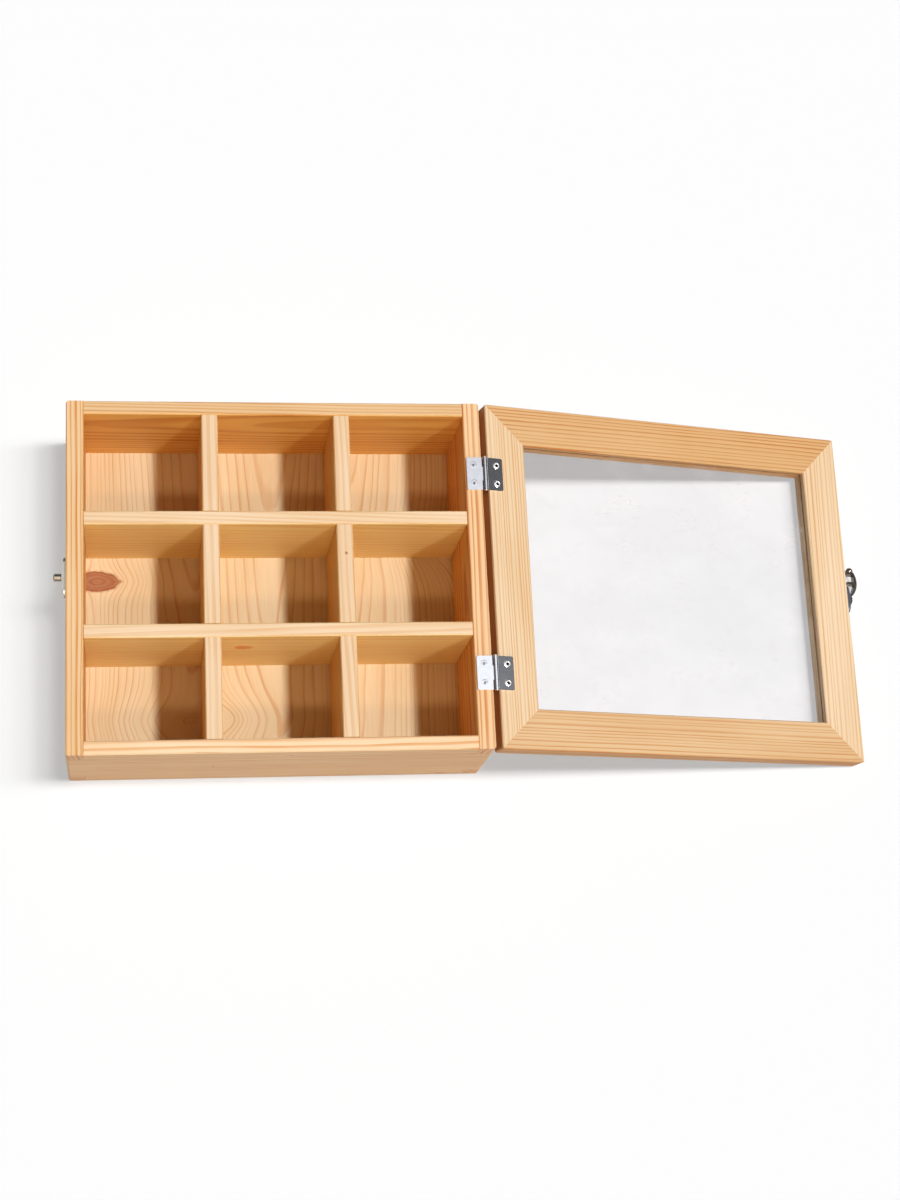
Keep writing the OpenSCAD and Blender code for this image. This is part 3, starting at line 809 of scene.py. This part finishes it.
@dataclass(frozen=True)
class PaneFinish:
    """Clear sheet with rubbed patches and hair-fine scratches that catch the light."""

    name: str = "clear_sheet"
    colour: Colour = (0.965, 0.96, 0.975, 1.0)
    dust: Colour = seen(236, 236, 240)
    index: float = 1.49
    shade: float = 0.97
    wear: float = 0.6
    gloss_blur: float = 0.02
    stretch: Triple = (0.06, 0.16, 0.06)
    clouds: Triple = (0.02, 0.035, 0.02)
    hairline_haze: float = 0.2
    rubbed_haze: float = 0.05

    def material(self) -> bpy.types.Material:
        """Builds the sheet's material, which lets the lamps' light and scattered light through."""
        material, w, output = new_material(self.name)
        in_mm = w.place_in_mm()
        marks = FineScratches().place(
            w, {"Vector": in_mm, "Stretch": self.stretch, "Amount": self.wear}
        )
        cloud = w.noise(w.scaled(in_mm, self.clouds), 3.0).outputs[0]
        tint = w.span(cloud, 0.35, 0.65, (0.97, 1.01))
        clear = w.add(
            "ShaderNodeBsdfPrincipled",
            {
                "Base Color": w.blend(1.0, self.colour, w.grey(tint), "MULTIPLY"),
                "Roughness": self.gloss_blur,
                "IOR": self.index,
                "Transmission Weight": 1.0,
            },
        )
        film = w.add("ShaderNodeBsdfPrincipled", {"Base Color": self.dust, "Roughness": 0.7})
        lines = w.math("MULTIPLY", marks.outputs["Hairlines"], self.hairline_haze)
        haze = w.math("MULTIPLY_ADD", marks.outputs["Rubbed"], self.rubbed_haze, lines, clamp=True)
        worn = w.add("ShaderNodeMixShader", {0: haze, 1: clear.outputs[0], 2: film.outputs[0]})
        light = w.add("ShaderNodeLightPath")
        through = w.add("ShaderNodeBsdfTransparent", {0: (self.shade,) * 3 + (1.0,)})
        shadow = light.outputs["Is Shadow Ray"]
        lit = w.add("ShaderNodeMixShader", {0: shadow, 1: worn.outputs[0], 2: through.outputs[0]})
        scattered = light.outputs["Is Diffuse Ray"]
        mixed = w.add("ShaderNodeMixShader", {0: scattered, 1: lit.outputs[0], 2: through.outputs[0]})
        w.feed(output.inputs["Surface"], mixed.outputs[0])
        return material


# The side multipliers in these finishes are painted shade and painted light: darker, redder inner faces
# of the rims and long dividers, a warmer and lighter inner face of the back wall and faces of the cross
# dividers, a darker front face and lid front edge.
LEFT_RIM = PineFinish(seen(233, 200, 154), seen(206, 138, 72), contrast=0.95)
RIGHT_RIM = PineFinish(seen(240, 205, 160), seen(208, 138, 76), contrast=1.0)
BACK_TOP = PineFinish(
    seen(229, 196, 150), seen(200, 142, 80), painted_side_shading=(1.18, 1.0, 0.53, 1.0), contrast=0.95
)
FRONT_TOP = PineFinish(
    seen(244, 216, 178), seen(220, 158, 90), painted_side_shading=(0.9, 0.86, 0.78, 1.0), contrast=0.9
)
CROSS_TOP = PineFinish(
    seen(237, 213, 180), seen(225, 180, 128), seen(236, 138, 58), (1.16, 1.14, 0.76, 1.0), 0.65
)
LONG_TOP = PineFinish(
    seen(235, 211, 179), seen(219, 174, 122), painted_side_shading=(1.0, 0.78, 0.41, 1.0), contrast=0.75
)
FLOOR = PineFinish(seen(219, 196, 157), seen(192, 134, 74), seen(148, 78, 30), contrast=0.62)
LID_BACK = PineFinish(seen(218, 179, 128), seen(194, 123, 58), contrast=0.9)
LID_FRONT = PineFinish(
    seen(220, 188, 144), seen(200, 134, 70), painted_side_shading=(0.86, 0.7, 0.5, 1.0), contrast=0.9
)
# Painted shadow: the lid's edge that faces the box is multiplied deep red-brown for the shade it lies
# in.
LID_HINGE = PineFinish(
    seen(230, 207, 172), seen(212, 155, 94), painted_side_shading=(0.55, 0.3, 0.16, 1.0), contrast=0.9
)
LID_LATCH = PineFinish(seen(234, 212, 180), seen(217, 167, 110), contrast=0.85)

RIGHTWARD: Triple = (1.0, 0.0, 0.0)
LEFTWARD: Triple = (-1.0, 0.0, 0.0)
BACKWARD: Triple = (0.0, 1.0, 0.0)
FRONTWARD: Triple = (0.0, -1.0, 0.0)
OPEN_LID_TO_BOX: Triple = (-0.97, 0.0, 0.24)

BRIGHT_STEEL = MetalFinish("bright_steel", seen(230, 232, 240), 0.15, 0.05, (0.9, 0.06, 0.9))
# Two lit and shaded copies of one steel: the sloping lid screws get a lighter colour and a dark painted
# socket shade, the level box screws a dimmer colour and a faint one.
SCREW_PAINTED_LIT = ScrewFinish("screw_painted_lit", seen(248, 248, 250), seen(60, 62, 66), 0.18, 0.3, 0.8)
SCREW_PAINTED_FAINT = ScrewFinish("screw_painted_faint", seen(222, 223, 230), seen(150, 152, 158), 0.15, 0.0, 0.12)
SATIN_NICKEL = MetalFinish("satin_nickel", seen(186, 182, 174), 0.3, 0.12, (0.4, 0.4, 0.4))
# Painted reflection: nickel made darker than the catch plate, for the dark reflections on the pin and
# its screws.
DARKENED_NICKEL = MetalFinish("darkened_nickel", seen(138, 132, 122), 0.34, 0.1, (0.4, 0.4, 0.4), 0.2)
DARK_PEWTER = MetalFinish("dark_pewter", seen(128, 120, 112), 0.24, 0.14, (0.5, 0.5, 0.5))
BLUED_STEEL = MetalFinish("blued_steel", seen(172, 180, 194), 0.24, 0.12, (0.5, 0.5, 0.5))


@dataclass
class Assembly:
    """A set of pieces that are dressed together."""

    tilt: float
    title: ClassVar[str] = "assembly"

    def build(self) -> List[bpy.types.Object]:
        """Dresses the pieces and gives them back."""
        raise NotImplementedError


@dataclass
class BoardSet(Assembly):
    """An assembly that is made of boards alone."""

    boards: Sequence[Board] = ()

    def build(self) -> List[bpy.types.Object]:
        """Gives every board a material with its own run of grain."""
        return [dress(board.node, board.material(self.tilt)) for board in self.boards]


@dataclass
class BoxWalls(BoardSet):
    """The four finger-jointed walls and the panel under them."""

    title: ClassVar[str] = "box walls"
    boards: Sequence[Board] = (
        Board(
            "front_wall", Run.BOX_ACROSS, (34.0, 70.0), FRONT_TOP, seed=1.3, lean=(0.0, 0.8),
            spacing=2.9, wander=5.0, late_share=0.45, painted_shade_sides=(FRONTWARD,),
            stains=(
                Stain((108.0, -104.0, 57.6), (4.5, 3.0, 0.35)),
                Stain((-108.0, -104.0, 57.6), (7.0, 3.0, 0.35)),
                Stain((97.0, -104.0, 3.0), (4.0, 3.0, 0.7)),
                Stain((5.0, -104.0, 60.0), (1.2, 3.0, 0.8)),
                Stain((-38.0, -104.0, 34.0), (1.0, 3.0, 1.0)),
            ),
        ),
        Board(
            "back_wall", Run.BOX_ACROSS, (-46.0, 20.0), BACK_TOP, seed=2.1, lean=(0.0, -0.7),
            spacing=2.0, wander=3.0, painted_shade_sides=(FRONTWARD,),
        ),
        Board(
            "catch_side_wall", Run.BOX_DEEP, (-62.0, 22.0), LEFT_RIM, seed=3.7, lean=(0.0, 0.3),
            spacing=2.3, wander=3.4, late_share=0.35, painted_shade_sides=(RIGHTWARD,),
        ),
        Board(
            "hinge_side_wall", Run.BOX_DEEP, (58.0, 18.0), RIGHT_RIM, seed=4.9, lean=(0.0, -0.3),
            spacing=3.0, wander=3.4, late_share=0.45, painted_shade_sides=(LEFTWARD,),
        ),
        Board(
            "bottom_panel", Run.BOX_DEEP, (0.0, -42.0), FLOOR, seed=5.2, lean=(2.0, 0.0),
            spacing=2.2, wander=4.0, late_share=0.2, stave=76.75, stave_far=(-32.0, 0.0),
            knots=(
                Knot((-103.5, 15.0, 4.0), 8.8),
                Knot((-44.0, -70.0, 4.0), 15.0, shows=False),
                Knot((126.0, 34.0, 4.0), 16.0, shows=False),
            ),
        ),
    )


@dataclass
class Dividers(BoardSet):
    """The half-lapped grid that makes the nine compartments."""

    title: ClassVar[str] = "dividers"
    boards: Sequence[Board] = (
        Board(
            "long_divider_left", Run.BOX_DEEP, (-40.0, 12.0), LONG_TOP, seed=6.4, lean=(0.0, 0.6),
            spacing=3.1, wander=4.0, painted_shade_sides=(RIGHTWARD, LEFTWARD),
        ),
        Board(
            "long_divider_right", Run.BOX_DEEP, (48.0, 30.0), LONG_TOP, seed=7.7, lean=(0.0, 1.6),
            spacing=3.4, wander=7.0, painted_shade_sides=(RIGHTWARD, LEFTWARD),
            stains=(
                Stain((38.6, 11.9, 70.0), (0.9, 1.1, 3.0)),
                Stain((36.6, -37.0, 70.0), (1.1, 0.7, 3.0)),
            ),
        ),
        Board(
            "cross_divider_front", Run.BOX_ACROSS, (36.0, 52.0), CROSS_TOP, seed=8.3, lean=(0.0, 1.4),
            spacing=3.2, wander=4.0, painted_shade_sides=(BACKWARD, FRONTWARD),
            stains=(Stain((-20.0, -37.3, 46.0), (6.5, 3.0, 4.5)),),
        ),
        Board(
            "cross_divider_back", Run.BOX_ACROSS, (-30.0, 44.0), CROSS_TOP, seed=9.9, lean=(0.0, -1.8),
            spacing=3.0, wander=4.0, painted_shade_sides=(BACKWARD, FRONTWARD),
        ),
    )


@dataclass
class LidFrame(BoardSet):
    """The mitred rails and the clear pane in their groove."""

    title: ClassVar[str] = "lid frame"
    pane: PaneFinish = field(default_factory=PaneFinish)
    boards: Sequence[Board] = (
        Board(
            "lid_rail_back", Run.LID_ACROSS, (70.0, 34.0), LID_BACK, seed=11.2, lean=(0.0, 0.4),
            spacing=2.2, wander=1.4, late_share=0.35,
        ),
        Board(
            "lid_rail_front", Run.LID_ACROSS, (-90.0, 30.0), LID_FRONT, seed=12.8, lean=(0.0, -0.3),
            spacing=2.1, wander=1.4, late_share=0.35, painted_shade_sides=(FRONTWARD,),
        ),
        Board(
            "lid_rail_hinge", Run.LID_DEEP, (-84.0, 26.0), LID_HINGE, seed=13.4, lean=(0.0, 0.4),
            spacing=1.9, wander=1.2, late_share=0.35, painted_shade_sides=(OPEN_LID_TO_BOX,),
        ),
        Board(
            "lid_rail_latch", Run.LID_DEEP, (66.0, 40.0), LID_LATCH, seed=14.6, lean=(0.0, -1.1),
            spacing=2.2, wander=2.0, late_share=0.35,
            stains=(Stain((332.0, -83.6, 17.6), (1.0, 1.0, 1.0)),),
        ),
    )

    def build(self) -> List[bpy.types.Object]:
        """Dresses the rails, then the pane."""
        return super().build() + [dress("window_pane", self.pane.material())]


@dataclass
class Fittings(Assembly):
    """Metal pieces that share one finish."""

    title: ClassVar[str] = "fittings"
    finishes: Mapping[str, MetalFinish] = field(default_factory=dict)

    def build(self) -> List[bpy.types.Object]:
        """Makes each finish once and gives it to its pieces."""
        made: Dict[str, bpy.types.Material] = {}
        pieces = []
        for node, finish in self.finishes.items():
            if finish.name not in made:
                made[finish.name] = finish.material()
            pieces.append(dress(node, made[finish.name]))
        return pieces


@dataclass
class Hinges(Fittings):
    """Both butt hinges with their pins and screws."""

    title: ClassVar[str] = "hinges"
    finishes: Mapping[str, MetalFinish] = field(
        default_factory=lambda: {
            piece + side: BRIGHT_STEEL
            for piece in ("box_leaf", "lid_leaf", "hinge_pin")
            for side in ("_front", "_back")
        }
    )
    level_screws: ScrewFinish = SCREW_PAINTED_FAINT
    sloping_screws: ScrewFinish = SCREW_PAINTED_LIT

    def build(self) -> List[bpy.types.Object]:
        """Dresses the leaves and pins, then the screws of each leaf."""
        level = dress("box_leaf_screws", self.level_screws.material("box_leaf_screws", 0.0))
        sloping = dress("lid_leaf_screws", self.sloping_screws.material("lid_leaf_screws", self.tilt))
        return super().build() + [level, sloping]


@dataclass
class Latch(Fittings):
    """The catch on the box and the swing hook on the lid."""

    title: ClassVar[str] = "latch"
    finishes: Mapping[str, MetalFinish] = field(
        default_factory=lambda: {
            "catch_plate": SATIN_NICKEL,
            "catch_pin": DARKENED_NICKEL,
            "catch_screws": DARKENED_NICKEL,
            "hook_plate": BLUED_STEEL,
            "hook_plate_screws": BLUED_STEEL,
            "hook_rivet": DARK_PEWTER,
            "swing_hook": DARK_PEWTER,
        }
    )


@dataclass(frozen=True)
class Lamp:
    """A far lamp, and how much of a level white surface's brightness it gives."""

    name: str
    bearing: float
    height: float
    share: float
    softness: float
    colour: Triple = (1.0, 1.0, 1.0)
    on_table: bool = False

    def build(self, table: bpy.types.Object) -> None:
        """Hangs the lamp, for the table alone or for everything else.

        Args:
            table: The table that the box stands on.
        """
        lamp = bpy.data.lights.new(self.name, "SUN")
        lamp.energy = self.share * math.pi / math.sin(math.radians(self.height))
        lamp.angle = math.radians(self.softness)
        lamp.color = self.colour
        stand = bpy.data.objects.new(self.name, lamp)
        stand.rotation_euler = Euler((math.radians(90 - self.height), 0.0, math.radians(self.bearing)))
        lit = bpy.data.collections.new(self.name + "_reach")
        lit.objects.link(table)
        lit.collection_objects[0].light_linking.link_state = "INCLUDE" if self.on_table else "EXCLUDE"
        stand.light_linking.receiver_collection = lit
        bpy.context.scene.collection.objects.link(stand)


@dataclass
class Studio:
    """A white table under a high key lamp, with soft fill, seen steeply from the front.

    Metal mirrors a ceiling over the box. It begins at ceiling_edge, which ceiling_lean tips from
    front to back, and ceiling_share changes its light along ceiling_turn.
    """

    lamps: Sequence[Lamp] = (
        Lamp("key_lamp", 76.0, 67.0, 0.77, 5.0),
        Lamp("front_lamp", 0.0, 63.0, 0.15, 6.0, (1.0, 0.66, 0.4)),
        Lamp("fill_lamp", 0.0, 26.0, 0.118, 40.0, (1.0, 0.72, 0.44)),
        Lamp("rear_lamp", 215.0, 18.0, 0.045, 30.0),
        Lamp("table_lamp_low", 93.0, 58.0, 0.13, 8.0, on_table=True),
        Lamp("table_lamp_mid", 93.0, 66.0, 0.17, 8.0, on_table=True),
        Lamp("table_lamp_high", 93.0, 74.0, 0.38, 8.0, on_table=True),
        Lamp("table_lamp_top", 93.0, 82.0, 0.36, 8.0, on_table=True),
    )
    sky: float = 0.035
    ceiling_lean: float = -0.26
    ceiling_edge: Tuple[float, float] = (0.714, 0.784)
    ceiling_light: Tuple[float, float] = (0.07, 0.86)
    ceiling_turn: Tuple[float, float] = (0.35, 0.23)
    ceiling_share: Tuple[float, float] = (0.92, 1.36)
    table_colour: float = 0.5
    table_glow: float = 0.45
    table_half: float = 6.0
    camera_height: float = 73.78
    camera_roll: float = -8.14
    camera_turn: float = -2.71
    camera_distance: float = 1296.17
    camera_target: Tuple[float, float] = (108.45, 3.51)
    camera_zoom: float = 2129.17

    def build(self) -> None:
        """Sets the table, the lamps, the sky and the camera."""
        table = self._table()
        for lamp in self.lamps:
            lamp.build(table)
        self._sky()
        self._camera()
        bpy.context.scene.view_settings.view_transform = "Standard"

    def _straight_on(self, w: Wiring) -> Mapping[str, Socket]:
        """Tells rays that reach the camera straight, or by way of metal or glass, from scattered light.

        Args:
            w: The wiring of a material or of the sky.

        Returns:
            Masks for the camera's own rays, for those through glass and for those off metal.
        """
        path = w.add("ShaderNodeLightPath")
        clear = w.math("LESS_THAN", path.outputs["Diffuse Depth"], 0.5)
        return {
            "camera": path.outputs["Is Camera Ray"],
            "glass": w.math("MULTIPLY", path.outputs["Is Transmission Ray"], clear),
            "metal": w.math("MULTIPLY", path.outputs["Is Glossy Ray"], clear),
        }

    def _table(self) -> bpy.types.Object:
        """Makes the pale table, which stays white to the eye and still takes the shadow."""
        half = self.table_half
        mesh = bpy.data.meshes.new("table")
        corners = [(-half, -half, 0), (half, -half, 0), (half, half, 0), (-half, half, 0)]
        mesh.from_pydata(corners, [], [(0, 1, 2, 3)])
        table = bpy.data.objects.new("table", mesh)
        bpy.context.scene.collection.objects.link(table)
        material, w, output = new_material("table_white")
        matt = w.add("ShaderNodeBsdfDiffuse", {"Color": (self.table_colour,) * 3 + (1.0,)})
        rays = self._straight_on(w)
        direct = w.math("MAXIMUM", rays["camera"], w.math("MAXIMUM", rays["glass"], rays["metal"]))
        lift = w.math("MULTIPLY", direct, self.table_glow)
        glow = w.add("ShaderNodeEmission", {"Color": (1.0, 1.0, 1.0, 1.0), "Strength": lift})
        both = w.add("ShaderNodeAddShader", {0: matt.outputs[0], 1: glow.outputs[0]})
        w.feed(output.inputs["Surface"], both.outputs[0])
        mesh.materials.append(material)
        return table

    def _sky(self) -> None:
        """Lights softly from all round, shows white all round, and gives metal a bright ceiling."""
        world = bpy.data.worlds.new("studio")
        world.use_nodes = True
        world.node_tree.nodes.clear()
        w = Wiring(world.node_tree)
        direction = w.add("ShaderNodeTexCoord").outputs["Generated"]
        parts = w.add("ShaderNodeSeparateXYZ", {0: direction})
        rise = w.math("MULTIPLY_ADD", parts.outputs[1], self.ceiling_lean, parts.outputs[2])
        overhead = w.span(rise, *self.ceiling_edge, self.ceiling_light)
        share = w.span(parts.outputs[1], *self.ceiling_turn, self.ceiling_share)
        ceiling = w.math("MULTIPLY", overhead, share)
        rays = self._straight_on(w)
        shown = w.math("MAXIMUM", rays["camera"], rays["glass"])
        mirrored = w.math("MAXIMUM", shown, w.math("MULTIPLY", rays["metal"], ceiling))
        strength = w.math("MAXIMUM", mirrored, self.sky)
        backdrop = w.add("ShaderNodeBackground", {"Color": (1.0, 1.0, 1.0, 1.0), "Strength": strength})
        w.add("ShaderNodeOutputWorld", {"Surface": backdrop.outputs[0]})
        bpy.context.scene.world = world

    def _camera(self) -> None:
        """Places the camera where the picture was taken from."""
        lens = bpy.data.cameras.new("camera")
        lens.sensor_fit = "HORIZONTAL"
        lens.lens = self.camera_zoom / PHOTO_WIDTH * lens.sensor_width
        camera = bpy.data.objects.new("camera", lens)
        angles = (90 - self.camera_height, self.camera_roll, self.camera_turn)
        turn = Euler([math.radians(angle) for angle in angles])
        target = Vector((*self.camera_target, 0.0))
        camera.location = (target + turn.to_matrix() @ Vector((0.0, 0.0, self.camera_distance))) * MM
        camera.rotation_euler = turn
        bpy.context.scene.collection.objects.link(camera)
        bpy.context.scene.camera = camera


def lid_slope() -> float:
    """Works out how far the open lid slopes down, from the hook's swing axis in the record.

    Returns:
        The slope in radians.
    """
    swing = next(joint for joint in frame["joints"] if joint["name"] == "hook_swing")
    across, _, down = swing["axis"]
    return math.atan2(-down, across)


def main() -> None:
    """Builds every sub-assembly in order and logs each piece's name, then the studio."""
    logging.basicConfig(level=logging.INFO, format="%(message)s")
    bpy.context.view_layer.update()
    tilt = lid_slope()
    for assembly in (BoxWalls(tilt), Dividers(tilt), LidFrame(tilt), Hinges(tilt), Latch(tilt)):
        for piece in assembly.build():
            log.info("%s: %s", assembly.title, piece.name)
    Studio().build()


if __name__ == "__main__":
    main()
